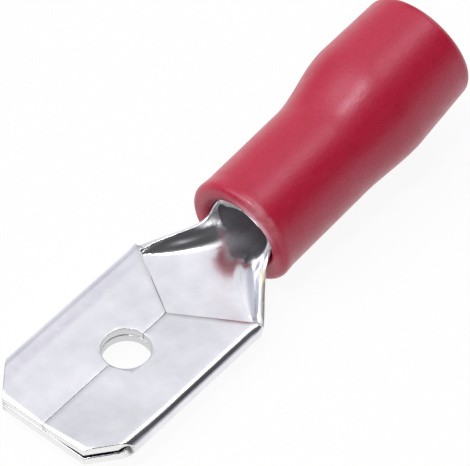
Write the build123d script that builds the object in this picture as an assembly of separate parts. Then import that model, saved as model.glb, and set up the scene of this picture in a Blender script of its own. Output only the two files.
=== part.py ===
from build123d import *
import math
import os

# Male spade terminal: one strip of tinned brass, folded into a tab and rolled into a barrel,
# with a plastic sleeve pushed over the barrel. X runs from the tab's tip to the wire's end,
# Y across the tab, Z up. Lengths are in millimetres and angles in degrees.

# Strip and tab
sheet = 0.35
tab_width = 6.3
tab_thickness = 0.8
flap_rest_gap = 0.02
seam_gap = 0.05
fold_length = 8.5
seam_length = 6.8
tip_corner_length = 1.5
tip_corner_width = 1.2
tip_bevel_length = 0.2
tip_bevel_depth = 0.12
flap_end_inset = 0.29
hole_diameter = 1.87
hole_from_tip = 4.56

# Neck between the tab and the barrel
neck_length = 2.72
neck_opening_length = 1.9
neck_ease = 0.7
neck_dip_length = 0.2
neck_dip_height = 0.46
neck_edge_run = 2.02
neck_edge_slope = 21.6
rim_edge_height = 1.11
rim_notch_height = 2.32
neck_floor_bow = 25.0
barrel_pitch = 4.1

# Barrel that grips the wire
barrel_diameter = 2.84
barrel_length = 6.0
barrel_seam_gap = 0.06

# Sleeve
sleeve_grip_gap = 0.02
sleeve_overhang = 0.3
sleeve_diameter = 4.45
lip_diameter = 4.52
lip_length = 0.55
lip_round = 0.28
mouth_round = 0.4
flare_start = 4.75
flare_end = 7.7
flare_diameter = 5.12
flare_lift = 0.21
flare_tilt = 4.4
sleeve_length = 10.95
entry_bore = 3.8
entry_taper = 0.15
entry_outer_round = 0.36
entry_inner_round = 0.1
funnel_gap = 0.1

# Numbers of sections that the curved walls pass through
neck_sections = 7
flare_sections = 7

# Worked out from the sizes above
fold_radius = tab_thickness / 2
fold_line = tab_width / 2 - fold_radius
flap_end_half_width = tab_width / 2 - flap_end_inset
barrel_radius = barrel_diameter / 2
bore_radius = barrel_radius + sleeve_grip_gap
tip_half_width = tab_width / 2 - tip_corner_width
past_part = 2 * tab_width

# The neck bends upwards along one large arc, so that the barrel leaves it at the pitch.
neck_bend_radius = neck_length / math.radians(barrel_pitch)


def smooth(share):
    """Eases a share of 0 to 1 in and out."""
    return share * share * (3 - 2 * share)


def lerp(start, end, share):
    """Goes from start to end by a share of 0 to 1."""
    return start + (end - start) * share


def neck_plane(share):
    """Plane square to the neck's underside, with its y axis up and its origin on the underside."""
    turn = math.radians(barrel_pitch) * share
    foot_x = fold_length + neck_bend_radius * math.sin(turn)
    foot_z = neck_bend_radius * (1 - math.cos(turn))
    return Plane(origin=(foot_x, 0, foot_z), x_dir=(0, 1, 0), z_dir=(math.cos(turn), 0, math.sin(turn)))


def barrel_plane(distance):
    """Plane square to the barrel's axis and centred on it, a distance behind the front rim."""
    return neck_plane(1) * Pos(0, barrel_radius, distance)


def tab_profile():
    """Section across the tab: base, two rounded folds, and flaps that lean down to the seam."""
    rise = tab_thickness - 2 * sheet - flap_rest_gap
    lean = math.degrees(math.asin(rise / fold_line))
    inner_radius = fold_radius - sheet
    centre = Vector(fold_line, fold_radius)
    away = Vector(1, 0).rotate(Axis.Z, 90 + lean)
    along = Vector(1, 0).rotate(Axis.Z, 180 + lean)
    top = centre + away * fold_radius
    under = centre + away * inner_radius
    top_seam = top + along * ((top.X - seam_gap / 2) / -along.X)
    under_seam = under + along * ((under.X - seam_gap / 2) / -along.X)
    with BuildSketch() as half:
        with BuildLine():
            Line((0, 0), (fold_line, 0))
            CenterArc(centre, fold_radius, -90, 180 + lean)
            Line(top, top_seam)
            Line(top_seam, under_seam)
            Line(under_seam, under)
            CenterArc(centre, inner_radius, -90, 180 + lean)
            Line((fold_line, sheet), (0, sheet))
            Line((0, sheet), (0, 0))
        make_face()
    return half.sketch + mirror(half.sketch, about=Plane.YZ)


def tip_corner(side):
    """Wedge that the slanted corner beside the tip removes."""
    outline = Polyline(
        (0, side * tip_half_width),
        (tip_corner_length, side * tab_width / 2),
        (tip_corner_length, side * tab_width),
        (-tip_corner_length, side * tab_width),
        (-tip_corner_length, side * tip_half_width),
        close=True,
    )
    return extrude(make_face(outline), amount=past_part, both=True)


def tip_bevel():
    """Slanted lead-in along the upper edge of the tip."""
    outline = Polyline(
        (-tip_bevel_length, tab_thickness - 2 * tip_bevel_depth),
        (tip_bevel_length, tab_thickness),
        (-tip_bevel_length, tab_thickness),
        close=True,
    )
    return extrude(Plane.XZ * make_face(outline), amount=past_part, both=True)


def flap_rear_cut():
    """Everything above the base that lies behind the flaps' V-shaped rear edges."""
    outline = Polyline(
        (seam_length, 0),
        (fold_length, flap_end_half_width),
        (fold_length + neck_length, flap_end_half_width),
        (fold_length + neck_length, -flap_end_half_width),
        (fold_length, -flap_end_half_width),
        close=True,
    )
    return extrude(Plane.XY.offset(sheet) * make_face(outline), amount=past_part)


def tab():
    """The doubled tab, with its slanted corners, bevel, hole and V-shaped flap ends."""
    across = Plane(origin=(0, 0, 0), x_dir=(0, 1, 0), z_dir=(1, 0, 0))
    blank = extrude(across * tab_profile(), amount=fold_length)
    hole = Pos(hole_from_tip, 0, 0) * Cylinder(hole_diameter / 2, past_part)
    return blank - tip_corner(1) - tip_corner(-1) - tip_bevel() - flap_rear_cut() - hole


def neck_half_width(share):
    """Half of the neck's outer width, a share of the way from the tab to the barrel."""
    return lerp(tab_width / 2, barrel_radius, lerp(share, smooth(share), neck_ease))


def neck_side_radius(share):
    """Radius of the neck's sides, which open from the tab's tight folds to the barrel's round."""
    closed = max(1 - share * neck_length / neck_opening_length, 0)
    return lerp(barrel_radius, fold_radius, closed ** 3)


def neck_oval(share, inset):
    """Outline of the half-flattened tube that the neck is part of, moved inwards by an inset."""
    half_width = neck_half_width(share)
    half_height = neck_side_radius(share)
    bow = neck_floor_bow * share * share
    slope = math.tan(math.radians(bow / 2))
    side_centre = (half_width - half_height) / (1 - slope)
    side_radius = half_height - side_centre * slope - inset
    middle = (0, half_height)
    if share == 1:
        narrow = 2 * bow
        wide = 180 - 2 * bow
        turns = [(-90 - bow, narrow), (-90 + bow, wide), (90 - bow, narrow), (90 + bow, wide)]
        return [CenterArc(middle, barrel_radius - inset, start, turn) for start, turn in turns]
    right = (side_centre, half_height)
    left = (-side_centre, half_height)
    sides = [
        CenterArc(right, side_radius, -90 + bow, 180 - 2 * bow),
        CenterArc(left, side_radius, 90 + bow, 180 - 2 * bow),
    ]
    if bow == 0:
        floor = Line(sides[1] @ 1, sides[0] @ 0)
        roof = Line(sides[0] @ 1, sides[1] @ 0)
    else:
        drop = side_centre / math.tan(math.radians(bow))
        reach = side_radius + side_centre / math.sin(math.radians(bow))
        floor = CenterArc((0, half_height + drop), reach, -90 - bow, 2 * bow)
        roof = CenterArc((0, half_height - drop), reach, 90 - bow, 2 * bow)
    return [floor, sides[0], roof, sides[1]]


def neck_loft(inset):
    """Closed form through the neck's outlines."""
    shares = [step / (neck_sections - 1) for step in range(neck_sections)]
    return loft([neck_plane(share) * make_face(neck_oval(share, inset)) for share in shares])


def neck_side_cut():
    """Everything above the neck's free edges, which dip behind the tab and climb to the barrel's rim."""
    front = fold_length
    dip = fold_length + neck_dip_length
    rim = neck_plane(1).origin.X - rim_notch_height * math.tan(math.radians(barrel_pitch))
    back = rim + barrel_diameter
    climb = neck_edge_run * math.tan(math.radians(neck_edge_slope))
    with BuildSketch(Plane.XZ) as side:
        with BuildLine():
            Line((front, tab_thickness), (dip, neck_dip_height))
            Bezier(
                (dip, neck_dip_height),
                (dip + neck_edge_run, neck_dip_height + climb),
                (rim, rim_edge_height),
                (rim, rim_notch_height),
            )
            Line((rim, rim_notch_height), (back, rim_notch_height))
            Line((back, rim_notch_height), (back, past_part))
            Line((back, past_part), (front, past_part))
            Line((front, past_part), (front, tab_thickness))
        make_face()
    return extrude(side.sketch, amount=past_part, both=True)


def neck_roof_cut():
    """Everything between the side walls and above the floor, where the neck leaves the tab."""
    dip_share = neck_dip_length / neck_length
    front = fold_line
    back = neck_half_width(dip_share) - neck_side_radius(dip_share)
    outline = Polyline(
        (fold_length, front),
        (fold_length + neck_dip_length, back),
        (fold_length + neck_dip_length, -back),
        (fold_length, -front),
        close=True,
    )
    return extrude(Plane.XY.offset(fold_radius) * make_face(outline), amount=past_part)


def neck():
    """Single sheet that curls up from the tab's width into the barrel."""
    return neck_loft(0) - neck_loft(sheet) - neck_side_cut() - neck_roof_cut()


def barrel():
    """Rolled barrel with its butt seam on top."""
    section = Circle(barrel_radius) - Circle(barrel_radius - sheet)
    tube = extrude(barrel_plane(0) * section, amount=barrel_length)
    from_axis_up = (Align.CENTER, Align.MIN, Align.CENTER)
    slit = Box(barrel_seam_gap, barrel_diameter, 2 * barrel_length, align=from_axis_up)
    return tube - barrel_plane(barrel_length / 2) * slit


def terminal():
    """The whole metal piece."""
    return tab() + neck() + barrel()


def sleeve_plane(distance):
    """Plane across the sleeve, a distance behind its mouth. The flare lifts and tilts it."""
    share = min(max((distance - flare_start) / (flare_end - flare_start), 0), 1)
    past_start = max(distance - flare_start, 0)
    lift = flare_lift * smooth(share) + past_start * math.tan(math.radians(flare_tilt))
    straight = barrel_plane(distance - sleeve_overhang)
    return straight * Pos(0, lift, 0) * Rot(-flare_tilt * smooth(share), 0, 0)


def sleeve_front():
    """Straight front stretch with its rounded lip, turned about the barrel's axis."""
    lip_radius = lip_diameter / 2
    body_radius = sleeve_diameter / 2
    step = lip_radius - body_radius
    with BuildSketch() as section:
        with BuildLine():
            Line((bore_radius + mouth_round, 0), (lip_radius - lip_round, 0))
            CenterArc((lip_radius - lip_round, lip_round), lip_round, -90, 90)
            Line((lip_radius, lip_round), (lip_radius, lip_length - step))
            Line((lip_radius, lip_length - step), (body_radius, lip_length))
            Line((body_radius, lip_length), (body_radius, flare_start))
            Line((body_radius, flare_start), (bore_radius, flare_start))
            Line((bore_radius, flare_start), (bore_radius, mouth_round))
            CenterArc((bore_radius + mouth_round, mouth_round), mouth_round, 180, 90)
        make_face()
    turned = revolve(section.sketch, axis=Axis.Y)
    return sleeve_plane(0) * Rot(90, 0, 0) * turned


def sleeve_flare():
    """Stretch where the sleeve widens for the wire's own insulation."""
    shares = [step / (flare_sections - 1) for step in range(flare_sections)]
    rings = []
    for share in shares:
        radius = lerp(sleeve_diameter, flare_diameter, smooth(share)) / 2
        rings.append(sleeve_plane(lerp(flare_start, flare_end, share)) * Circle(radius))
    funnel_start = sleeve_overhang + barrel_length + funnel_gap
    seat_start = barrel_plane(flare_start - sleeve_overhang) * Circle(bore_radius)
    seat_end = barrel_plane(funnel_start - sleeve_overhang) * Circle(bore_radius)
    seat = extrude(seat_start, amount=funnel_start - flare_start)
    funnel = loft([seat_end, sleeve_plane(flare_end) * Circle(entry_bore / 2)])
    return loft(rings) - seat - funnel


def sleeve_entry():
    """Straight rear stretch that takes the wire, a little narrower at its end."""
    length = (sleeve_length - flare_end) / math.cos(math.radians(flare_tilt))
    outer = flare_diameter / 2
    outer_end = outer - entry_taper
    inner = entry_bore / 2
    section = make_face(Polyline((inner, 0), (outer, 0), (outer_end, length), (inner, length), close=True))
    turned = revolve(section, axis=Axis.Y)
    tail_edges = turned.edges().group_by(Axis.Y)[-1].sort_by(SortBy.RADIUS)
    turned = fillet(tail_edges[-1], entry_outer_round)
    tail_edges = turned.edges().filter_by(GeomType.CIRCLE).group_by(Axis.Y)[-1].sort_by(SortBy.RADIUS)
    turned = fillet(tail_edges[0], entry_inner_round)
    return sleeve_plane(flare_end) * Rot(90, 0, 0) * turned


def insulating_sleeve():
    """The whole plastic piece."""
    return sleeve_front() + sleeve_flare() + sleeve_entry()


# The origin is on the floor under the middle of the part.
metal = terminal()
plastic = insulating_sleeve()
box = metal.bounding_box().add(plastic.bounding_box())
to_origin = Pos(-box.center().X, -box.center().Y, -box.min.Z)

os.makedirs("parts", exist_ok=True)
export_step(to_origin * metal, "parts/terminal.step")
export_step(to_origin * plastic, "parts/insulating_sleeve.step")
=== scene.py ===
"""Male spade terminal: folded tin-plated blade, curled neck and barrel, and red plastic sleeve."""
import math

import bmesh
import bpy
from mathutils import Matrix, Vector


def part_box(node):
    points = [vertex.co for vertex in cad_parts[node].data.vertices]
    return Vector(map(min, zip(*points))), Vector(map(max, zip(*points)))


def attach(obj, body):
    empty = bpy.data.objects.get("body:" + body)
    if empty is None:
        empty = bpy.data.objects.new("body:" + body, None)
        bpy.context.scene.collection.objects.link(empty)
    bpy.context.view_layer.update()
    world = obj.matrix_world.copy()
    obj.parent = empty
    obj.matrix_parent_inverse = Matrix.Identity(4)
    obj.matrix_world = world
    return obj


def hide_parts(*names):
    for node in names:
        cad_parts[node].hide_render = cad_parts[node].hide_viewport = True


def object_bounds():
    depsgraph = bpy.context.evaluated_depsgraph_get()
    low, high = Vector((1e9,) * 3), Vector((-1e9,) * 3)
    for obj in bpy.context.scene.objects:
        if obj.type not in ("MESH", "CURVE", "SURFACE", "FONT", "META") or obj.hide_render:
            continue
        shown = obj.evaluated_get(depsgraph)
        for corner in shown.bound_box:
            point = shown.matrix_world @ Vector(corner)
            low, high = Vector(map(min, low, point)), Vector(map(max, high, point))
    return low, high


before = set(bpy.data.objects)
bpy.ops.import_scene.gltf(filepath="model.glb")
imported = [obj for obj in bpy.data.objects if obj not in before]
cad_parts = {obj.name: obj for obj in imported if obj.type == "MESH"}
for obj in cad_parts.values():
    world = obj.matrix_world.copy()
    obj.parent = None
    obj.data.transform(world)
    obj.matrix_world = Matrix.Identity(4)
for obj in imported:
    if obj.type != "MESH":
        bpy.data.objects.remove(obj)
cad_low, cad_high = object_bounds()

# Small letters name the part's sizes, in millimetres and in its own terms: X from the blade's tip
# and Z from its underside. Capitals name counts, limits, looks and the studio.
MM = 0.001
HALF_TURN = math.pi
QUARTER_TURN = math.pi / 2
terminal_low, terminal_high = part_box("terminal")
tip_x = terminal_low.x / MM
underside_z = terminal_low.z / MM

# Sheet and blade
sheet = 0.35
tab_width = (terminal_high.y - terminal_low.y) / MM
tab_thickness = 0.8
flap_rest_gap = 0.02
seam_gap = 0.018
fold_length = 8.5
seam_length = 6.8
tip_corner_length = 1.5
tip_corner_width = 1.2
tip_bevel_length = 0.23
tip_bevel_depth = 0.12
tip_bevel_curve = 1.6
flap_end_inset = 0.29
hole_diameter = 1.87
hole_from_tip = 4.56
lifted_corner = 0.1
lifted_reach = 3.2

# Neck and barrel
neck_length = 2.72
neck_opening_length = 1.9
neck_ease = 0.7
neck_dip_length = 0.2
neck_dip_height = 0.46
neck_edge_run = 2.02
neck_edge_slope = math.radians(21.6)
neck_floor_bow = math.radians(25.0)
rim_edge_height = 1.11
rim_notch_height = 2.32
barrel_pitch = math.radians(4.1)
barrel_radius = 1.42
barrel_length = 6.0
barrel_seam_gap = 0.06

# Upper face of the neck: its rise, its walls' thinner edges, and its softer bends
ramp_start = 8.6
ramp_ease = 0.4
ramp_slope = math.radians(3.3)
ramp_end = 10.7
ramp_end_ease = 0.6
ramp_fade = 3.0
thinned_left = (8.7, 9.9)
thinned_right = (10.0, 10.7)
right_bend_reach = 0.3
right_bend_slope = math.radians(12.0)
right_bend_curve = 1.5
rim_ease = 1.2
rim_slope = math.radians(10.8)

# Sleeve
sleeve_grip_gap = 0.02
sleeve_overhang = 0.3
sleeve_radius = 2.225
sleeve_length = 10.95
lip_radius = 2.26
lip_length = 0.55
lip_round = 0.28
lip_fade = 0.26
mouth_round = 0.4
flare_start = 4.75
flare_end = 7.7
flare_radius = 2.56
flare_lift = 0.21
flare_tilt = math.radians(4.4)
entry_radius = 1.9
entry_taper = 0.15
entry_outer_round = 0.36
entry_inner_round = 0.1
funnel_gap = 0.1

# Worked out from the sizes above
half_tab = tab_width / 2
fold_radius = tab_thickness / 2
fold_line = half_tab - fold_radius
tip_half_width = half_tab - tip_corner_width
flap_end_half_width = half_tab - flap_end_inset
flap_lean = math.asin((tab_thickness - 2 * sheet - flap_rest_gap) / fold_line)
neck_bend_radius = neck_length / barrel_pitch
rim_x = fold_length + neck_bend_radius * math.sin(barrel_pitch)
rim_x -= rim_notch_height * math.tan(barrel_pitch)
bore_radius = barrel_radius + sleeve_grip_gap
mouth_x = fold_length + neck_length - sleeve_overhang

# Steps of a search, and the turn below which an arc counts as straight
HALVINGS = 40
STRAIGHT = 1e-6


def smooth(share):
    """Eases a share of 0 to 1 in and out."""
    return share * share * (3 - 2 * share)


def lerp(start, end, share):
    """Goes from start to end by a share of 0 to 1."""
    return start + (end - start) * share


def clamp(value, low=0.0, high=1.0):
    """Keeps a value between two limits."""
    return min(max(value, low), high)


def last_true(low, high, test):
    """Last place between low and high where a test still holds, found by halving."""
    for _ in range(HALVINGS):
        middle = (low + high) / 2
        if test(middle):
            low = middle
        else:
            high = middle
    return low


def in_frame(point):
    """A point in the part's own millimetres, as metres in the frame."""
    x, y, z = point
    return ((x + tip_x) * MM, y * MM, (z + underside_z) * MM)


# Section across the strip

def neck_half_width(share):
    """Half of the neck's outer width, a share of the way from the tab to the barrel."""
    return lerp(half_tab, barrel_radius, lerp(share, smooth(share), neck_ease))


def neck_side_radius(share):
    """Radius of the neck's sides, which open from the tab's tight folds to the barrel's round."""
    closed = max(1 - share * neck_length / neck_opening_length, 0)
    return lerp(barrel_radius, fold_radius, closed ** 3)


def neck_side(share):
    """Centre, height and radius of the neck's side arcs, and the turn of its floor arc."""
    half_height = neck_side_radius(share)
    bow = neck_floor_bow * share * share
    slope = math.tan(bow / 2)
    centre = (neck_half_width(share) - half_height) / (1 - slope)
    return centre, half_height, half_height - centre * slope, bow


def lift_to_neck(share, across, height):
    """Stands a point of the neck's section up on its plane, square to the bent underside."""
    turn = barrel_pitch * share
    x = fold_length + neck_bend_radius * math.sin(turn) - height * math.sin(turn)
    z = neck_bend_radius * (1 - math.cos(turn)) + height * math.cos(turn)
    return x, across, z


def floor_point(share, along, depth):
    """Point on the floor of the section, depth inside the outer face. Along goes from 0 to 1."""
    centre, height, radius, bow = neck_side(share)
    if bow < STRAIGHT:
        return centre * along, depth
    reach = radius + centre / math.sin(bow)
    middle = height + centre / math.tan(bow)
    angle = bow * along
    return (reach - depth) * math.sin(angle), middle - (reach - depth) * math.cos(angle)


def side_point(share, angle, depth):
    """Point on the side arc of the section, depth inside the outer face."""
    centre, height, radius, bow = neck_side(share)
    reach = radius - depth
    turned = max(angle, bow - QUARTER_TURN)
    return centre + reach * math.cos(turned), height + reach * math.sin(turned)


def flap_point(along, depth):
    """Point on the flap. Along goes from 0 at the fold to 1 at the seam."""
    top_y = fold_line - fold_radius * math.sin(flap_lean)
    top_z = fold_radius + fold_radius * math.cos(flap_lean)
    length = (top_y - seam_gap / 2) / math.cos(flap_lean)
    y = top_y - along * length * math.cos(flap_lean) + depth * math.sin(flap_lean)
    z = top_z - along * length * math.sin(flap_lean) - depth * math.cos(flap_lean)
    return max(y, seam_gap / 2), z


# Free edge of the neck

def curve(controls, share):
    """One coordinate of a cubic curve that four control values pull into shape."""
    a, b, c, d = controls
    rest = 1 - share
    return a * rest ** 3 + 3 * b * rest ** 2 * share + 3 * c * rest * share ** 2 + d * share ** 3


def cut_height(x):
    """Height of the neck's free edge at a place along the part."""
    start = fold_length + neck_dip_length
    if x <= start:
        return lerp(tab_thickness, neck_dip_height, clamp((x - fold_length) / neck_dip_length))
    if x >= rim_x:
        return rim_notch_height
    climb = neck_edge_run * math.tan(neck_edge_slope)
    along = (start, start + neck_edge_run, rim_x, rim_x)
    up = (neck_dip_height, neck_dip_height + climb, rim_edge_height, rim_notch_height)
    return curve(up, last_true(0, 1, lambda share: curve(along, share) < x))


def free_edge_angle(share):
    """Angle on the side arc where the neck's section meets the free edge."""
    def below_edge(angle):
        x, _, z = lift_to_neck(share, *side_point(share, angle, 0))
        return z < cut_height(x)

    return last_true(-QUARTER_TURN, QUARTER_TURN, below_edge)


# Strip as one mesh

# Points across the strip
FLOOR_INNER = 8
FLOOR_OUTER = 4
SIDE_LOW = 14
SIDE_HIGH = 8
FLAP_OUTER = 6
FLAP_INNER = 8
RIM_EXTRA = 12

# Rows along it
TIP_ROWS = (0.0, 0.09, 0.13, 0.18, tip_bevel_length)
TAB_ROWS = 26
NECK_ROWS = 44
BARREL_ROWS = 28

# Rounding of its cut edges
EDGE_ROUND = 0.045
EDGE_STEPS = 3
SEAM_ROUND_SHARE = 0.15

dip_share = neck_dip_length / neck_length
dip_angle = free_edge_angle(dip_share)


def half_samples():
    """Places round half of the section, from the middle of the floor to the seam."""
    corner = tip_half_width / fold_line
    places = [("floor", corner * i / FLOOR_INNER) for i in range(FLOOR_INNER)]
    places += [("floor", lerp(corner, 1, i / FLOOR_OUTER)) for i in range(FLOOR_OUTER)]
    places += [("side", lerp(-QUARTER_TURN, dip_angle, i / SIDE_LOW)) for i in range(SIDE_LOW)]
    dip_index = len(places)
    top_angle = QUARTER_TURN + flap_lean
    places += [("side", lerp(dip_angle, top_angle, i / SIDE_HIGH)) for i in range(SIDE_HIGH)]
    corner = 1 - tip_half_width / fold_line
    places += [("flap", corner * i / FLAP_OUTER) for i in range(FLAP_OUTER)]
    places += [("flap", lerp(corner, 1, i / FLAP_INNER)) for i in range(FLAP_INNER + 1)]
    return places, dip_index


def section_point(x, place, depth):
    """Point of the tab, or of the neck's start, at a place along and a place round the section."""
    kind, value = place
    if kind == "flap":
        return x, *flap_point(value, depth)
    share = max(x - fold_length, 0) / neck_length
    flat = (floor_point if kind == "floor" else side_point)(share, value, depth)
    return lift_to_neck(share, *flat) if share > 0 else (x, *flat)


def climbed_share(place):
    """How far up the wall a place of the section is, from 0 on the floor to 1 at the free edge."""
    kind, value = place
    return 0 if kind == "floor" else (value + QUARTER_TURN) / (dip_angle + QUARTER_TURN)


def eased_ramp(x, start, ease):
    """Height of a ramp of slope one behind its start, where it begins gradually."""
    along = x - start
    if along <= 0:
        return 0
    return along ** 2 / ease / 2 if along < ease else along - ease / 2


def risen(point, place, depth):
    """Raises the neck floor's upper face as a gentle ramp and eases the walls into the barrel."""
    x, y, z = point
    kind, value = place
    if depth == 0 or x <= ramp_start:
        return point
    rise = eased_ramp(x, ramp_start, ramp_ease) - eased_ramp(x, ramp_end, ramp_end_ease)
    rise *= math.tan(ramp_slope) * (1 - smooth(clamp((x - ramp_end) / ramp_fade)))
    angle = QUARTER_TURN if kind == "floor" else -value
    beside = smooth(clamp(angle / QUARTER_TURN))
    out = 0 if kind == "floor" else max(math.cos(value), 0) ** 3
    near_rim = max(1 - abs(x - fold_length - neck_length) / rim_ease, 0)
    # Half of the slope lies on either side of the rim.
    widened = math.tan(rim_slope) * rim_ease / 4 * near_rim ** 2 * out
    return x, y + widened, z + rise * beside


def eased(point, side, depth, centre, climbed):
    """Bends the upper face up more gently into the right-hand wall than into the left."""
    x, y, z = point
    beyond = y - centre + right_bend_reach
    if side > 0 or depth == 0 or beyond <= 0:
        return point
    start = smooth(clamp((x - seam_length) / (fold_length - seam_length)))
    rise = eased_ramp(beyond, 0, right_bend_reach) * math.tan(right_bend_slope)
    return x, y, z + start * rise * (1 - climbed) ** right_bend_curve


def front_x(across):
    """Where the blade starts: at the tip, or further back on the slanted corners."""
    return tip_corner_length * clamp((across - tip_half_width) / tip_corner_width)


def rear_x(place):
    """Where the tab ends: at the V-shaped flap ends, or at the dip in front of the neck."""
    dip_x = fold_length + neck_dip_length
    kind, value = place
    if kind == "floor" or (kind == "side" and value <= dip_angle):
        return dip_x
    across = section_point(0, place, 0)[1]
    if across <= flap_end_half_width:
        return lerp(seam_length, fold_length, across / flap_end_half_width)
    return last_true(fold_length, dip_x, lambda x: section_point(x, place, 0)[2] < cut_height(x))


def row_x(row, start, end):
    """Where one of the tab's rows crosses a stretch that goes from start to end."""
    if row < len(TIP_ROWS):
        return start + TIP_ROWS[row]
    return lerp(start + TIP_ROWS[-1], end, (row - len(TIP_ROWS) + 1) / TAB_ROWS)


def bevelled(point, outer):
    """Lowers the top of the tip along its slanted lead-in."""
    x, y, z = point
    if outer and z > fold_radius:
        climbed = clamp((x - EDGE_ROUND) / (tip_bevel_length - EDGE_ROUND))
        z = min(z, tab_thickness - tip_bevel_depth * (1 - climbed) ** tip_bevel_curve)
    return x, y, z


def lifted(point, side):
    """Raises the loose corner of the right-hand flap, which isn't pressed quite flat."""
    x, y, z = point
    if side < 0:
        along = smooth(clamp(1 - x / lifted_reach))
        out = smooth(clamp(y / tip_half_width))
        above = smooth(clamp((z - sheet) / (fold_radius - sheet)))
        back = smooth(clamp((half_tab - y) / fold_radius))
        z += lifted_corner * along * out * above * back
    return x, y, z


def edge_arc(corner, out, inward, reach):
    """Quarter circle that rounds one edge of the cut face."""
    arc = []
    for step in range(EDGE_STEPS + 1):
        angle = QUARTER_TURN * step / EDGE_STEPS
        sunk = inward * reach * (1 - math.cos(angle))
        arc.append(corner - out * reach * (1 - math.sin(angle)) + sunk)
    return arc


class Strip:
    """Collects the strip's points and faces, outer and inner side by side."""

    def __init__(self):
        self.points = []
        self.faces = []
        self.edge_faces = []

    def add(self, point, side):
        """Adds a point of one half, mirrored for the other, and gives its index."""
        x, y, z = point
        self.points.append(in_frame((x, side * y, z)))
        return len(self.points) - 1

    def grid(self, rows, flip):
        """Quads between neighbouring rows."""
        for upper, lower in zip(rows[:-1], rows[1:]):
            for a, b in zip(range(len(upper) - 1), range(1, len(upper))):
                quad = (upper[a], upper[b], lower[b], lower[a])
                self.faces.append(quad[::-1] if flip else quad)

    def rounded_wall(self, outer, inner):
        """Cut face round the sheet between its two faces, with both of its edges rounded."""
        count = len(outer)
        places = [Vector(point) for point in self.points]
        lines = []
        for i in range(count):
            (top, seam), (low, _) = outer[i], inner[i]
            ahead = places[outer[(i + 1) % count][0]] - places[top]
            behind = places[top] - places[outer[i - 1][0]]
            through = (places[top] - places[low]).normalized()
            out = through.cross(ahead.normalized() + behind.normalized()).normalized()
            reach = EDGE_ROUND * MM * (SEAM_ROUND_SHARE if seam else 1)
            upper = edge_arc(places[top], out, -through, reach)
            lower = edge_arc(places[low], out, through, reach)
            self.points[top] = tuple(upper[0])
            self.points[low] = tuple(lower[0])
            ids = [top]
            for point in upper[1:] + lower[:0:-1]:
                self.points.append(tuple(point))
                ids.append(len(self.points) - 1)
            lines.append(ids + [low])
        for here, there in zip(lines, lines[1:] + lines[:1]):
            for k in range(len(here) - 1):
                faces = self.edge_faces if k == EDGE_STEPS else self.faces
                faces.append((here[k], there[k], there[k + 1], here[k + 1]))


def full_row(strip, half_points):
    """One row across the strip, from the left free edge round to the right one."""
    left, right = half_points
    left_ids = [strip.add(p, 1) for p in left]
    right_ids = [strip.add(p, -1) for p in right[1:]]
    return left_ids[::-1] + right_ids


def tab_rows(strip, places, depth):
    """Rows of the tab, from the slanted front to the V-shaped rear of its flaps."""
    stretches = [(front_x(section_point(0, place, 0)[1]), rear_x(place)) for place in places]
    rows = []
    for row in range(len(TIP_ROWS) + TAB_ROWS):
        halves = []
        for side in (1, -1):
            half = []
            for place, (start, end) in zip(places, stretches):
                point = bevelled(section_point(row_x(row, start, end), place, depth), depth == 0)
                if place[0] == "floor" or place[1] < dip_angle:
                    point = eased(point, side, depth, fold_line, climbed_share(place))
                half.append(lifted(point, side))
            halves.append(half)
        rows.append(full_row(strip, halves))
    return rows


def thinned(share, climbed, depth, side):
    """Depth inside the outer face, where the wall is drawn thinner towards its free edge."""
    x = fold_length + share * neck_length
    start, end = thinned_left if side > 0 else thinned_right
    along = smooth(clamp((x - start) / (end - start)))
    return lerp(depth, sheet / 2 if depth > 0 else 0, along * smooth(clamp(2 * climbed - 1)))


def neck_row(places, dip_index, share, depth, side):
    """Points of half a row across the neck, each with its place and how far up the wall it is."""
    edge = free_edge_angle(share)
    bow = neck_side(share)[3]
    half = []
    for kind, value in places[:dip_index + 1]:
        climbed = climbed_share((kind, value))
        if kind == "floor":
            flat = floor_point(share, value, depth)
        else:
            value = lerp(bow - QUARTER_TURN, edge, climbed)
            flat = side_point(share, value, thinned(share, climbed, depth, side))
        half.append((lift_to_neck(share, *flat), (kind, value), climbed))
    return half


def neck_rows(strip, places, dip_index, depth):
    """Rows of the neck, behind the dip, closer together where the free edge climbs steeply."""
    rows = []
    for row in range(1, NECK_ROWS + 1):
        share = lerp(dip_share, 1, math.sin(QUARTER_TURN * row / NECK_ROWS))
        centre = neck_side(share)[0]
        fade = 1 - smooth(clamp(2 * share - 1))
        halves = []
        for side in (1, -1):
            half = []
            for point, place, climbed in neck_row(places, dip_index, share, depth, side):
                x, y, z = risen(point, place, depth)
                gentle = eased((x, y, z), side, depth, centre, climbed)
                half.append((x, y, lerp(z, gentle[2], fade)))
            halves.append(half)
        rows.append(full_row(strip, halves))
    return rows


def barrel_rows(strip, places, dip_index, last_neck_row, depth):
    """Rows of the barrel. The first takes over the neck's last row and closes it up to the seam."""
    edge = free_edge_angle(1)
    seam = QUARTER_TURN - math.asin(barrel_seam_gap / 2 / barrel_radius)
    halves = []
    for side in (1, -1):
        closing = []
        for i in range(1, RIM_EXTRA + 1):
            angle = lerp(edge, seam, i / RIM_EXTRA)
            inside = thinned(1, clamp(1 - 2 * i / RIM_EXTRA), depth, side)
            closing.append((lift_to_neck(1, *side_point(1, angle, inside)), ("side", angle), 1))
        halves.append((closing, neck_row(places, dip_index, 1, depth, side) + closing))
    left = [strip.add(item[0], 1) for item in halves[0][0]][::-1]
    right = [strip.add(item[0], -1) for item in halves[1][0]]
    rows = [left + last_neck_row + right]
    for row in range(1, BARREL_ROWS + 1):
        distance = barrel_length * (row / BARREL_ROWS) ** 2
        ahead = distance * math.cos(barrel_pitch)
        above = distance * math.sin(barrel_pitch)
        both = []
        for _, whole in halves:
            half = [((x + ahead, y, z + above), place) for (x, y, z), place, _ in whole]
            both.append([risen(point, place, depth) for point, place in half])
        rows.append(full_row(strip, both))
    return rows


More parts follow.
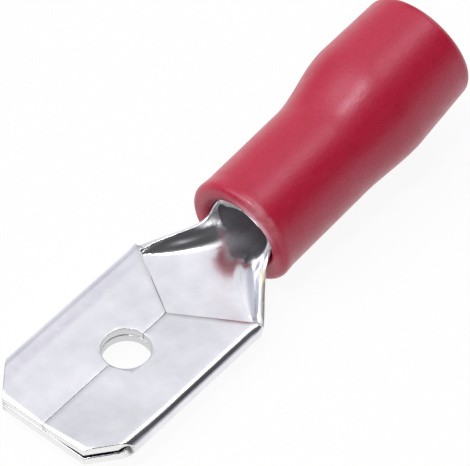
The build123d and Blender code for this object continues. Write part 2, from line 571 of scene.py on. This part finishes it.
def boundary(tab, neck, barrel, middle, dip_index):
    """The strip's free edge as one loop of points round the whole piece, with the seam marked."""
    right, left = middle + dip_index, middle - dip_index
    loop = [(point, False) for point in tab[0]]
    loop += [(row[-1], True) for row in tab[1:]]
    loop += [(point, False) for point in tab[-1][-2:right - 1:-1]]
    loop += [(row[-1], False) for row in neck]
    loop += [(point, False) for point in barrel[0][-RIM_EXTRA:]]
    loop += [(row[-1], False) for row in barrel[1:]]
    loop += [(point, False) for point in barrel[-1][-2::-1]]
    loop += [(row[0], False) for row in barrel[-2::-1]]
    loop += [(point, False) for point in barrel[0][1:RIM_EXTRA]]
    loop += [(row[0], False) for row in neck[::-1]]
    loop += [(point, False) for point in tab[-1][left::-1]]
    loop += [(row[0], True) for row in tab[-2:0:-1]]
    return loop


def build_strip():
    """The whole folded strip as one closed mesh."""
    strip = Strip()
    places, dip_index = half_samples()
    sides = []
    for depth in (0, sheet):
        tab = tab_rows(strip, places, depth)
        neck = neck_rows(strip, places, dip_index, depth)
        middle = len(places) - 1
        joined = tab[-1][middle - dip_index:middle + dip_index + 1]
        barrel = barrel_rows(strip, places, dip_index, neck[-1], depth)
        strip.grid(tab, depth > 0)
        strip.grid([joined] + neck, depth > 0)
        strip.grid(barrel, depth > 0)
        sides.append((tab, neck, barrel))
    outer, inner = [boundary(*rows, len(places) - 1, dip_index) for rows in sides]
    strip.rounded_wall(outer, inner)
    return strip


def make_object(name, points, faces):
    """New mesh object with its normals facing out."""
    mesh = bpy.data.meshes.new(name)
    mesh.from_pydata(points, [], faces)
    shape = bmesh.new()
    shape.from_mesh(mesh)
    bmesh.ops.recalc_face_normals(shape, faces=shape.faces)
    shape.to_mesh(mesh)
    shape.free()
    made = bpy.data.objects.new(name, mesh)
    bpy.context.scene.collection.objects.link(made)
    return made


def ring_points(centre, radius, height, count):
    """Points round a level circle."""
    x, y = centre
    angles = [2 * HALF_TURN * i / count for i in range(count)]
    return [(x + radius * math.cos(a), y + radius * math.sin(a), height) for a in angles]


def cylinder_object(name, centre, radius, heights, count):
    """Plain upright cylinder."""
    rings = [ring_points(centre, radius, height, count) for height in heights]
    points = [in_frame(p) for ring in rings for p in ring]
    faces = [tuple(range(count))[::-1], tuple(range(count, 2 * count))]
    faces += [(i, (i + 1) % count, count + (i + 1) % count, count + i) for i in range(count)]
    return make_object(name, points, faces)


def apply_modifiers(thing):
    """Replaces the object's mesh by what its modifiers make of it."""
    graph = bpy.context.evaluated_depsgraph_get()
    mesh = bpy.data.meshes.new_from_object(thing.evaluated_get(graph))
    thing.modifiers.clear()
    thing.data = mesh


# Hole: its mesh, and the band and angle that tell its sharp edges from others
HOLE_SEGMENTS = 96
HOLE_EDGE_BAND = 0.002
HOLE_ROUND_SHARE = 0.4
HOLE_ROUND_SEGMENTS = 2
CUTTER_HEIGHTS = (-2.0, 2.0)
SHARP_ANGLE = math.radians(35)


def mark_hole_edges(mesh):
    """Marks the sharp edges round the hole, which the bevel rounds."""
    middle = Vector(in_frame((hole_from_tip, 0, 0))).xy
    radius = hole_diameter / 2 * MM
    band = HOLE_EDGE_BAND * MM
    shape = bmesh.new()
    shape.from_mesh(mesh)
    weight = shape.edges.layers.float.new("bevel_weight_edge")
    for edge in shape.edges:
        near = all(abs((v.co.xy - middle).length - radius) < band for v in edge.verts)
        if near and len(edge.link_faces) == 2 and edge.calc_face_angle(0) > SHARP_ANGLE:
            level = abs(edge.verts[0].co.z - edge.verts[1].co.z) < EDGE_ROUND * MM
            edge[weight] = HOLE_ROUND_SHARE if level else 0.0
    shape.to_mesh(mesh)
    shape.free()


def cut_hole(piece, wall):
    """Cuts the hole through both layers, with a material of its own on its wall, which is coloured
    darker as painted shade.
    """
    place = (hole_from_tip, 0)
    radius = hole_diameter / 2
    cutter = cylinder_object("hole_cutter", place, radius, CUTTER_HEIGHTS, HOLE_SEGMENTS)
    cutter.data.materials.append(wall)
    cut = piece.modifiers.new("hole", "BOOLEAN")
    cut.operation = "DIFFERENCE"
    cut.object = cutter
    cut.solver = "EXACT"
    cut.material_mode = "TRANSFER"
    apply_modifiers(piece)
    bpy.data.objects.remove(cutter)


def terminal_piece(tin, edge_tin, shaded_hole_tin):
    """The metal piece, with its hole cut through both layers and its edges slightly rounded."""
    strip = build_strip()
    piece = make_object("terminal_strip", strip.points, strip.faces + strip.edge_faces)
    piece.data.materials.append(tin)
    piece.data.materials.append(edge_tin)
    for face in piece.data.polygons[len(strip.faces):]:
        face.material_index = 1
    cut_hole(piece, shaded_hole_tin)
    piece.data.shade_smooth()
    mark_hole_edges(piece.data)
    rounding = piece.modifiers.new("edge_round", "BEVEL")
    rounding.width = EDGE_ROUND * MM
    rounding.segments = HOLE_ROUND_SEGMENTS
    rounding.limit_method = "WEIGHT"
    rounding.use_clamp_overlap = False
    flatter = piece.modifiers.new("flat_faces_flat", "WEIGHTED_NORMAL")
    flatter.mode = "FACE_AREA"
    flatter.keep_sharp = False
    return piece


# Sleeve as one mesh

SLEEVE_SEGMENTS = 160
ARC_STEPS = 10
FLARE_STEPS = 36


def sleeve_ring(distance, radius):
    """Ring of points across the sleeve, a distance behind its mouth."""
    share = clamp((distance - flare_start) / (flare_end - flare_start))
    lift = flare_lift * smooth(share) + max(distance - flare_start, 0) * math.tan(flare_tilt)
    tilt = flare_tilt * smooth(share)
    along = distance - sleeve_overhang
    points = []
    for i in range(SLEEVE_SEGMENTS):
        angle = 2 * HALF_TURN * i / SLEEVE_SEGMENTS
        across = radius * math.cos(angle)
        up = radius * math.sin(angle)
        ahead = along - up * math.sin(tilt)
        height = barrel_radius + lift + up * math.cos(tilt)
        x, y, z = lift_to_neck(1, across, height)
        points.append((x + ahead * math.cos(barrel_pitch), y, z + ahead * math.sin(barrel_pitch)))
    return points


def arc_profile(distance, height, radius, start, end):
    """Rounded corner of the sleeve's profile round a centre, as distances and radii."""
    angles = [lerp(start, end, i / ARC_STEPS) for i in range(ARC_STEPS + 1)]
    return [(distance + radius * math.cos(a), height + radius * math.sin(a)) for a in angles]


def sleeve_profile():
    """Closed profile of the sleeve: out over the lip, along the flare and back through the bore."""
    outer = arc_profile(lip_round, lip_radius - lip_round, lip_round, HALF_TURN, QUARTER_TURN)
    lip_end = lip_length + lip_fade
    for i in range(ARC_STEPS + 1):
        share = i / ARC_STEPS
        place = lerp(lip_length - lip_fade, lip_end, share)
        outer.append((place, lip_radius - (lip_radius - sleeve_radius) * smooth(share)))
    shares = [i / FLARE_STEPS for i in range(FLARE_STEPS + 1)]
    outer += [(lerp(lip_end, flare_start, share), sleeve_radius) for share in shares[1:-1]]
    for share in shares:
        radius = lerp(sleeve_radius, flare_radius, smooth(share))
        outer.append((lerp(flare_start, flare_end, share), radius))
    turn = QUARTER_TURN
    reach = entry_outer_round
    outer += arc_profile(sleeve_length - reach, flare_radius - entry_taper - reach, reach, turn, 0)
    reach = entry_inner_round
    inner = arc_profile(sleeve_length - reach, entry_radius + reach, reach, 0, -turn)
    funnel_start = sleeve_overhang + barrel_length + funnel_gap
    inner += [(flare_end, entry_radius), (funnel_start, bore_radius)]
    inner += arc_profile(mouth_round, bore_radius + mouth_round, mouth_round, -turn, -2 * turn)
    return outer + inner


def sleeve_piece(plastic):
    """The plastic piece, as rings through its closed profile."""
    rings = [sleeve_ring(distance, radius) for distance, radius in sleeve_profile()]
    points = [in_frame(p) for ring in rings for p in ring]
    faces = []
    for r in range(len(rings)):
        here = r * SLEEVE_SEGMENTS
        there = ((r + 1) % len(rings)) * SLEEVE_SEGMENTS
        for i in range(SLEEVE_SEGMENTS):
            j = (i + 1) % SLEEVE_SEGMENTS
            faces.append((here + i, here + j, there + j, there + i))
    piece = make_object("plastic_sleeve", points, faces)
    piece.data.materials.append(plastic)
    piece.data.shade_smooth()
    return piece


# Materials. A noise is given by its scale and detail, and the height of a bump in millimetres.

# Most of a noise's values, and a whole share
NOISE_RANGE = (0.3, 0.7)
WHOLE = (0.0, 1.0)

# Tin plate
TIN_DARK = (0.77, 0.77, 0.81, 1)
TIN_LIGHT = (0.9, 0.895, 0.935, 1)
TIN_COLOUR_NOISE = (900, 6)
TIN_ROUGHNESS = (0.14, 0.24)
TIN_ROUGHNESS_NOISE = (500, 4)
# Waves, fine unevenness and rolling lines: noise, height and stretch
TIN_BUMPS = (
    ((350, 2), 0.02, (1, 1, 1)),
    ((1500, 5), 0.007, (1, 1, 1)),
    ((3000, 3), 0.0012, (0.15, 1, 1)),
)

# Duller, dented stretch, which starts at the neck's end and goes on through the barrel
dull_start = 10.3
dull_end = 11.4
DULL_ROUGHNESS = 0.17
DENT_NOISE = (9000, 3)
DENT_HEIGHT = 0.008
DENT_STRENGTH = (0.02, 1.0)

# Darker, patchy band on top of the blade beside its left fold
grey_band_middle = 2.4
grey_band_half_width = 0.26
GREY_BAND_BESIDE = 0.35
GREY_BAND_COLOUR = (0.7, 0.69, 0.76, 1)
GREY_BAND_NOISE = (2400, 6)
GREY_BAND_PATCHES = (0.25, 1.0)

# Cut faces, and the stretch of the right one where the brass shows
CUT_EDGE_COLOUR = (0.9, 0.9, 0.89, 1)
# Painted shade: the hole's wall is the same cut metal as the other cut faces, coloured darker than
# them.
SHADED_HOLE_WALL_COLOUR = (0.68, 0.68, 0.69, 1)
CUT_NOISE = (9000, 3)
CUT_ROUGHNESS = (0.3, 0.45)
CUT_HEIGHT = 0.004
bare_start = 9.95
bare_end = 10.45
bare_fade = 0.25
bare_side = (-1.0, -0.5)
BARE_COLOUR = (0.87, 0.81, 0.6, 1)
BARE_NOISE = (3500, 4)
BARE_PATCHES = (0.3, 1.0)

# Red plastic
RED_DARK = (0.44, 0.005, 0.031, 1)
RED_LIGHT = (0.53, 0.009, 0.043, 1)
RED_COLOUR_NOISE = (9000, 3)
RED_ROUGHNESS = (0.33, 0.43)
RED_ROUGHNESS_NOISE = (2500, 3)
RED_SPECULAR = 0.6
RED_SPECULAR_TINT = (0.95, 0.8, 1.0, 1)
RED_COAT = 0.25
RED_COAT_ROUGHNESS = 0.26
GRAIN_NOISE = (8000, 4)
GRAIN_HEIGHT = 0.01

# Painted highlight: a pale patch on the upper right of the sleeve's mouth
highlight_side = -0.35
highlight_height = 2.75
highlight_spread = 0.45
highlight_depth = 0.2
PAINTED_HIGHLIGHT_COLOUR = (0.62, 0.2, 0.235, 1)
HIGHLIGHT_NOISE = (2600, 5)
HIGHLIGHT_PATCHES = (0.3, 1.0)


def new_material(name):
    """Node material with its shader at hand."""
    material = bpy.data.materials.new(name)
    material.use_nodes = True
    return material, material.node_tree, material.node_tree.nodes["Principled BSDF"]


def add_node(tree, kind, inputs, **settings):
    """New node with its settings. Each input is set to a constant or linked to an output."""
    node = tree.nodes.new(kind)
    for name, value in settings.items():
        setattr(node, name, value)
    for name, value in inputs.items():
        if isinstance(value, bpy.types.NodeSocket):
            tree.links.new(value, node.inputs[name])
        else:
            node.inputs[name].default_value = value
    return node


def combined(tree, operation, values):
    """Several values added, multiplied or compared one after another."""
    total = values[0]
    for value in values[1:]:
        both = add_node(tree, "ShaderNodeMath", {0: total, 1: value}, operation=operation)
        total = both.outputs[0]
    return total


def add_ramp(tree, value, source, result=WHOLE, kind="SMOOTHSTEP"):
    """Value that goes from one number to another while its source crosses a range."""
    ramp = add_node(tree, "ShaderNodeMapRange", {
        "Value": value,
        "From Min": source[0],
        "From Max": source[1],
        "To Min": result[0],
        "To Max": result[1],
    }, interpolation_type=kind)
    return ramp.outputs["Result"]


def add_noise(tree, noise, stretch=(1, 1, 1)):
    """Noise in the object's own space."""
    scale, detail = noise
    place = add_node(tree, "ShaderNodeTexCoord", {}).outputs["Object"]
    mapping = add_node(tree, "ShaderNodeMapping", {"Vector": place, "Scale": stretch})
    inputs = {"Vector": mapping.outputs["Vector"], "Scale": scale, "Detail": detail}
    return add_node(tree, "ShaderNodeTexNoise", inputs).outputs["Fac"]


def spread(tree, value, result):
    """Spreads a noise value evenly over a range of numbers."""
    return add_ramp(tree, value, NOISE_RANGE, result, "LINEAR")


def add_bump(tree, height, distance, normal=None, strength=1.0):
    """Bump from a height value, over another bump if there is one."""
    inputs = {"Height": height, "Distance": distance * MM, "Strength": strength}
    if normal is not None:
        inputs["Normal"] = normal
    return add_node(tree, "ShaderNodeBump", inputs).outputs["Normal"]


def mixed_colour(tree, share, first, second):
    """Blend of two colours by a share of 0 to 1."""
    inputs = {"Factor": share, "A": first, "B": second}
    return add_node(tree, "ShaderNodeMix", inputs, data_type="RGBA").outputs["Result"]


def along_part(tree, axis, start, end, before=0.0, after=1.0):
    """Value that changes smoothly between two places along one of the part's axes."""
    origin = {"X": tip_x, "Y": 0, "Z": underside_z}[axis]
    place = add_node(tree, "ShaderNodeTexCoord", {}).outputs["Object"]
    split = add_node(tree, "ShaderNodeSeparateXYZ", {0: place})
    source = ((origin + start) * MM, (origin + end) * MM)
    return add_ramp(tree, split.outputs[axis], source, (before, after))


def grey_band_by_left_fold(tree):
    """Darker, patchy band on top of the blade, beside its left fold."""
    return combined(tree, "MULTIPLY", [
        along_part(tree, "Y", grey_band_middle - grey_band_half_width, grey_band_middle),
        along_part(tree, "Y", fold_line, grey_band_middle, GREY_BAND_BESIDE, 1.0),
        along_part(tree, "Z", fold_radius, fold_radius + sheet / 2),
        along_part(tree, "X", fold_length, seam_length),
        spread(tree, add_noise(tree, GREY_BAND_NOISE), GREY_BAND_PATCHES),
    ])


def bare_brass(tree):
    """Stretch of the right cut edge where the brass shows."""
    return combined(tree, "MULTIPLY", [
        along_part(tree, "X", bare_start - bare_fade, bare_start),
        along_part(tree, "X", bare_end, bare_end + bare_fade, 1.0, 0.0),
        along_part(tree, "Y", *bare_side, 1.0, 0.0),
        spread(tree, add_noise(tree, BARE_NOISE), BARE_PATCHES),
    ])


def mouth_highlight_patch(tree):
    """Painted highlight: a pale patch on the upper right of the sleeve's mouth."""
    return combined(tree, "MULTIPLY", [
        along_part(tree, "X", mouth_x, mouth_x + highlight_depth, 1.0, 0.0),
        along_part(tree, "Y", highlight_side - highlight_spread, highlight_side + highlight_spread, 1.0, 0.0),
        along_part(tree, "Z", highlight_height - highlight_spread, highlight_height + highlight_spread),
        spread(tree, add_noise(tree, HIGHLIGHT_NOISE), HIGHLIGHT_PATCHES),
    ])


def tin_material():
    """Tin plate: slightly wavy, with faint rolling lines and uneven gloss, duller at the barrel."""
    material, tree, shader = new_material("tin_plate")
    shader.inputs["Metallic"].default_value = 1.0
    gloss = spread(tree, add_noise(tree, TIN_ROUGHNESS_NOISE), TIN_ROUGHNESS)
    duller = along_part(tree, "X", dull_start, dull_end, 0.0, DULL_ROUGHNESS)
    tree.links.new(combined(tree, "ADD", [gloss, duller]), shader.inputs["Roughness"])
    clouds = spread(tree, add_noise(tree, TIN_COLOUR_NOISE), WHOLE)
    plate = mixed_colour(tree, clouds, TIN_DARK, TIN_LIGHT)
    banded = mixed_colour(tree, grey_band_by_left_fold(tree), plate, GREY_BAND_COLOUR)
    tree.links.new(banded, shader.inputs["Base Color"])
    normal = None
    for noise, height, stretch in TIN_BUMPS:
        normal = add_bump(tree, add_noise(tree, noise, stretch), height, normal)
    dented = along_part(tree, "X", dull_start, dull_end, *DENT_STRENGTH)
    normal = add_bump(tree, add_noise(tree, DENT_NOISE), DENT_HEIGHT, normal, dented)
    tree.links.new(normal, shader.inputs["Normal"])
    return material


def edge_material(name, colour):
    """Cut face of the strip: rougher than the plated faces, with some brass showing."""
    material, tree, shader = new_material(name)
    shader.inputs["Metallic"].default_value = 1.0
    brassy = mixed_colour(tree, bare_brass(tree), colour, BARE_COLOUR)
    tree.links.new(brassy, shader.inputs["Base Color"])
    grain = add_noise(tree, CUT_NOISE)
    tree.links.new(spread(tree, grain, CUT_ROUGHNESS), shader.inputs["Roughness"])
    tree.links.new(add_bump(tree, grain, CUT_HEIGHT), shader.inputs["Normal"])
    return material


def plastic_material():
    """Soft red plastic with a satin skin and a highlight painted on its mouth."""
    material, tree, shader = new_material("red_plastic_skin")
    clouds = spread(tree, add_noise(tree, RED_COLOUR_NOISE), WHOLE)
    red = mixed_colour(tree, clouds, RED_DARK, RED_LIGHT)
    # Paints a pale highlight onto the red at the upper right of the mouth.
    highlighted = mixed_colour(tree, mouth_highlight_patch(tree), red, PAINTED_HIGHLIGHT_COLOUR)
    tree.links.new(highlighted, shader.inputs["Base Color"])
    shader.inputs["Specular IOR Level"].default_value = RED_SPECULAR
    shader.inputs["Specular Tint"].default_value = RED_SPECULAR_TINT
    shader.inputs["Coat Weight"].default_value = RED_COAT
    shader.inputs["Coat Roughness"].default_value = RED_COAT_ROUGHNESS
    gloss = spread(tree, add_noise(tree, RED_ROUGHNESS_NOISE), RED_ROUGHNESS)
    tree.links.new(gloss, shader.inputs["Roughness"])
    grain = add_bump(tree, add_noise(tree, GRAIN_NOISE), GRAIN_HEIGHT)
    tree.links.new(grain, shader.inputs["Normal"])
    tree.links.new(grain, shader.inputs["Coat Normal"])
    return material


# Studio, in metres and degrees

FLOOR_HALF_SIDE = 1.0
FLOOR_COLOUR = (0.9, 0.9, 0.9, 1)
FLOOR_WHITE_SHARE = 0.93
ROOM_COLOUR = (0.97, 0.97, 1.0, 1)
ROOM_STRENGTH = 0.08
PATCH_STRENGTH = 1.0
WHITE = (1.0, 1.0, 1.0, 1)

# Bright patches of the room, a dome and a window: azimuth and elevation of the middle, then the
# angles from it where the patch starts to fade and where it ends
PATCHES = (
    ((60, 72), 15, 52),
    ((103, 38), 9, 26),
)

# Lamps: name, azimuth, elevation, side and radiance
LAMPS = (
    ("key_light", 143, 50, 0.4, 2.1),
    ("top_light", -14, 64, 0.2, 2.0),
    ("front_light", -169, 74, 0.08, 34.0),
    ("back_light", 2, 20, 0.26, 1.4),
)
LAMP_DISTANCE = 0.6
LAMP_POWER = 4

# Cards: name, azimuths of the sides, elevations of the foot and top, colour and softness
CARDS = (
    ("back_card", (80, 120), (-1, 39), (0.58, 0.6, 0.67), 0.3),
    ("fold_card", (36, 86), (-1, 39), (0.76, 0.77, 0.84), 0.3),
    ("side_card", (236, 254), (1, 24), (3.2, 3.2, 3.2), 0.45),
    ("right_card", (275, 345), (-1, 20), (0.5, 0.52, 0.58), 0.4),
)
CARD_DISTANCE = 0.4
CARD_FOOT_SOFTNESS = 0.25


def direction(azimuth, elevation):
    """Unit vector towards a place in the studio. Azimuth 0 is along +X and 90 along +Y."""
    a = math.radians(azimuth)
    e = math.radians(elevation)
    return Vector((math.cos(a) * math.cos(e), math.sin(a) * math.cos(e), math.sin(e)))


def soft_light(name, azimuth, elevation, side, radiance):
    """Square soft light that faces the part."""
    data = bpy.data.lights.new(name, "AREA")
    data.shape = "SQUARE"
    data.size = side
    data.energy = LAMP_POWER * radiance * side * side
    lamp = bpy.data.objects.new(name, data)
    towards = direction(azimuth, elevation)
    lamp.location = towards * LAMP_DISTANCE
    lamp.rotation_euler = (-towards).to_track_quat("-Z", "Y").to_euler()
    bpy.context.scene.collection.objects.link(lamp)


def flat_square(name, half_side, height, material):
    """Level square round the middle of the frame."""
    corners = [(-1, -1), (1, -1), (1, 1), (-1, 1)]
    mesh = bpy.data.meshes.new(name)
    points = [(x * half_side, y * half_side, height) for x, y in corners]
    mesh.from_pydata(points, [], [(0, 1, 2, 3)])
    mesh.materials.append(material)
    made = bpy.data.objects.new(name, mesh)
    bpy.context.scene.collection.objects.link(made)
    return made


def bare_material(name):
    """Node material without a shader."""
    material, tree, shader = new_material(name)
    tree.nodes.remove(shader)
    return material, tree


def mix_shaders(tree, share, first, second, output):
    """Shows a blend of two shaders at the tree's output."""
    inputs = {"Fac": share, 1: first.outputs[0], 2: second.outputs[0]}
    mix = add_node(tree, "ShaderNodeMixShader", inputs)
    tree.links.new(mix.outputs[0], tree.nodes[output].inputs["Surface"])


def to_sight(tree, share):
    """Share for camera, glossy and transmission rays, and 0 for all others."""
    path = add_node(tree, "ShaderNodeLightPath", {})
    rays = ("Is Camera Ray", "Is Glossy Ray", "Is Transmission Ray")
    seen = combined(tree, "MAXIMUM", [path.outputs[ray] for ray in rays])
    return combined(tree, "MULTIPLY", [seen, share])


def floor_piece():
    """Pale floor. It looks white from the camera but keeps a faint shadow."""
    material, tree = bare_material("pale_floor")
    paper = add_node(tree, "ShaderNodeBsdfDiffuse", {"Color": FLOOR_COLOUR})
    white = add_node(tree, "ShaderNodeEmission", {})
    mix_shaders(tree, to_sight(tree, FLOOR_WHITE_SHARE), paper, white, "Material Output")
    floor = flat_square("floor", FLOOR_HALF_SIDE, cad_low.z, material)


def soft_inside(tree, softness):
    """Share that falls off towards the sides and top of a card, and more sharply at its foot."""
    place = add_node(tree, "ShaderNodeTexCoord", {}).outputs["Generated"]
    split = add_node(tree, "ShaderNodeSeparateXYZ", {0: place})
    x, y = split.outputs["X"], split.outputs["Y"]
    return combined(tree, "MULTIPLY", [
        add_ramp(tree, x, (0, softness)),
        add_ramp(tree, x, (1, 1 - softness)),
        add_ramp(tree, y, (0, softness * CARD_FOOT_SOFTNESS)),
        add_ramp(tree, y, (1, 1 - softness)),
    ])


def card(name, azimuths, elevations, colour, softness):
    """Upright card beside the part, with soft edges, which only reflections show."""
    material, tree = bare_material(name)
    clear = add_node(tree, "ShaderNodeBsdfTransparent", {})
    glow = add_node(tree, "ShaderNodeEmission", {"Color": (*colour, 1)})
    mix_shaders(tree, soft_inside(tree, softness), clear, glow, "Material Output")
    left, right = azimuths
    outward = direction((left + right) / 2, 0)
    sideways = Vector((-outward.y, outward.x, 0))
    half_width = CARD_DISTANCE * math.tan(math.radians((right - left) / 2))
    foot, top = [CARD_DISTANCE * math.tan(math.radians(angle)) for angle in elevations]
    half_height = (top - foot) / 2
    made = flat_square(name, 1, 0, material)
    made.matrix_world = Matrix((
        (sideways.x * half_width, 0, outward.x, outward.x * CARD_DISTANCE),
        (sideways.y * half_width, 0, outward.y, outward.y * CARD_DISTANCE),
        (0, half_height, 0, foot + half_height),
        (0, 0, 0, 1),
    ))
    for ray in ("visible_camera", "visible_diffuse", "visible_shadow", "visible_transmission"):
        setattr(made, ray, False)


def bright_patch(tree, axis, full, edge):
    """Round patch of the world, bright within one angle of its axis and dim beyond another."""
    place = add_node(tree, "ShaderNodeTexCoord", {}).outputs["Generated"]
    inputs = {0: place, 1: direction(*axis)}
    towards = add_node(tree, "ShaderNodeVectorMath", inputs, operation="DOT_PRODUCT")
    source = (math.cos(math.radians(edge)), math.cos(math.radians(full)))
    return add_ramp(tree, towards.outputs["Value"], source, (ROOM_STRENGTH, PATCH_STRENGTH))


def studio_world():
    """Dim room with a soft dome overhead and a window. The camera sees plain white instead."""
    world = bpy.data.worlds.new("studio")
    bpy.context.scene.world = world
    world.use_nodes = True
    tree = world.node_tree
    room = tree.nodes["Background"]
    room.inputs["Color"].default_value = ROOM_COLOUR
    lit = combined(tree, "MAXIMUM", [bright_patch(tree, *patch) for patch in PATCHES])
    tree.links.new(lit, room.inputs["Strength"])
    white = add_node(tree, "ShaderNodeBackground", {"Color": WHITE})
    path = add_node(tree, "ShaderNodeLightPath", {})
    mix_shaders(tree, path.outputs["Is Camera Ray"], room, white, "World Output")


# Camera

PHOTO_WIDTH = 470
PIXELS_PER_MM = 26.823
SENSOR_WIDTH = 36.0
CAMERA_AZIMUTH = math.radians(-49.817)
CAMERA_ELEVATION = math.radians(49.567)
CAMERA_DISTANCE = 150.0
CAMERA_TARGET = (11.528, 0.725, 0.4)
CLIP_START = 0.015
CLIP_END = 10.0


def add_camera():
    """Camera at the photograph's angle and scale."""
    data = bpy.data.cameras.new("camera")
    data.sensor_width = SENSOR_WIDTH
    data.lens = SENSOR_WIDTH * PIXELS_PER_MM * CAMERA_DISTANCE / PHOTO_WIDTH
    data.clip_start = CLIP_START
    data.clip_end = CLIP_END
    level = math.cos(CAMERA_ELEVATION)
    back = Vector((
        math.sin(CAMERA_AZIMUTH) * level,
        -math.cos(CAMERA_AZIMUTH) * level,
        math.sin(CAMERA_ELEVATION),
    ))
    camera = bpy.data.objects.new("camera", data)
    camera.location = Vector(in_frame(CAMERA_TARGET)) + back * CAMERA_DISTANCE * MM
    camera.rotation_euler = (-back).to_track_quat("-Z", "Y").to_euler()
    bpy.context.scene.collection.objects.link(camera)
    bpy.context.scene.camera = camera


cut_edge = edge_material("cut_edge", CUT_EDGE_COLOUR)
# The hole's wall takes the cut-face material in a darker colour, as painted shade.
shaded_hole_wall = edge_material("shaded_hole_wall", SHADED_HOLE_WALL_COLOUR)
terminal = terminal_piece(tin_material(), cut_edge, shaded_hole_wall)
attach(terminal, "root")
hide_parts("terminal")

sleeve = sleeve_piece(plastic_material())
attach(sleeve, "root")
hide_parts("insulating_sleeve")

floor_piece()
studio_world()
for lamp_values in LAMPS:
    soft_light(*lamp_values)
for card_values in CARDS:
    card(*card_values)
add_camera()
bpy.context.scene.view_settings.view_transform = "Standard"
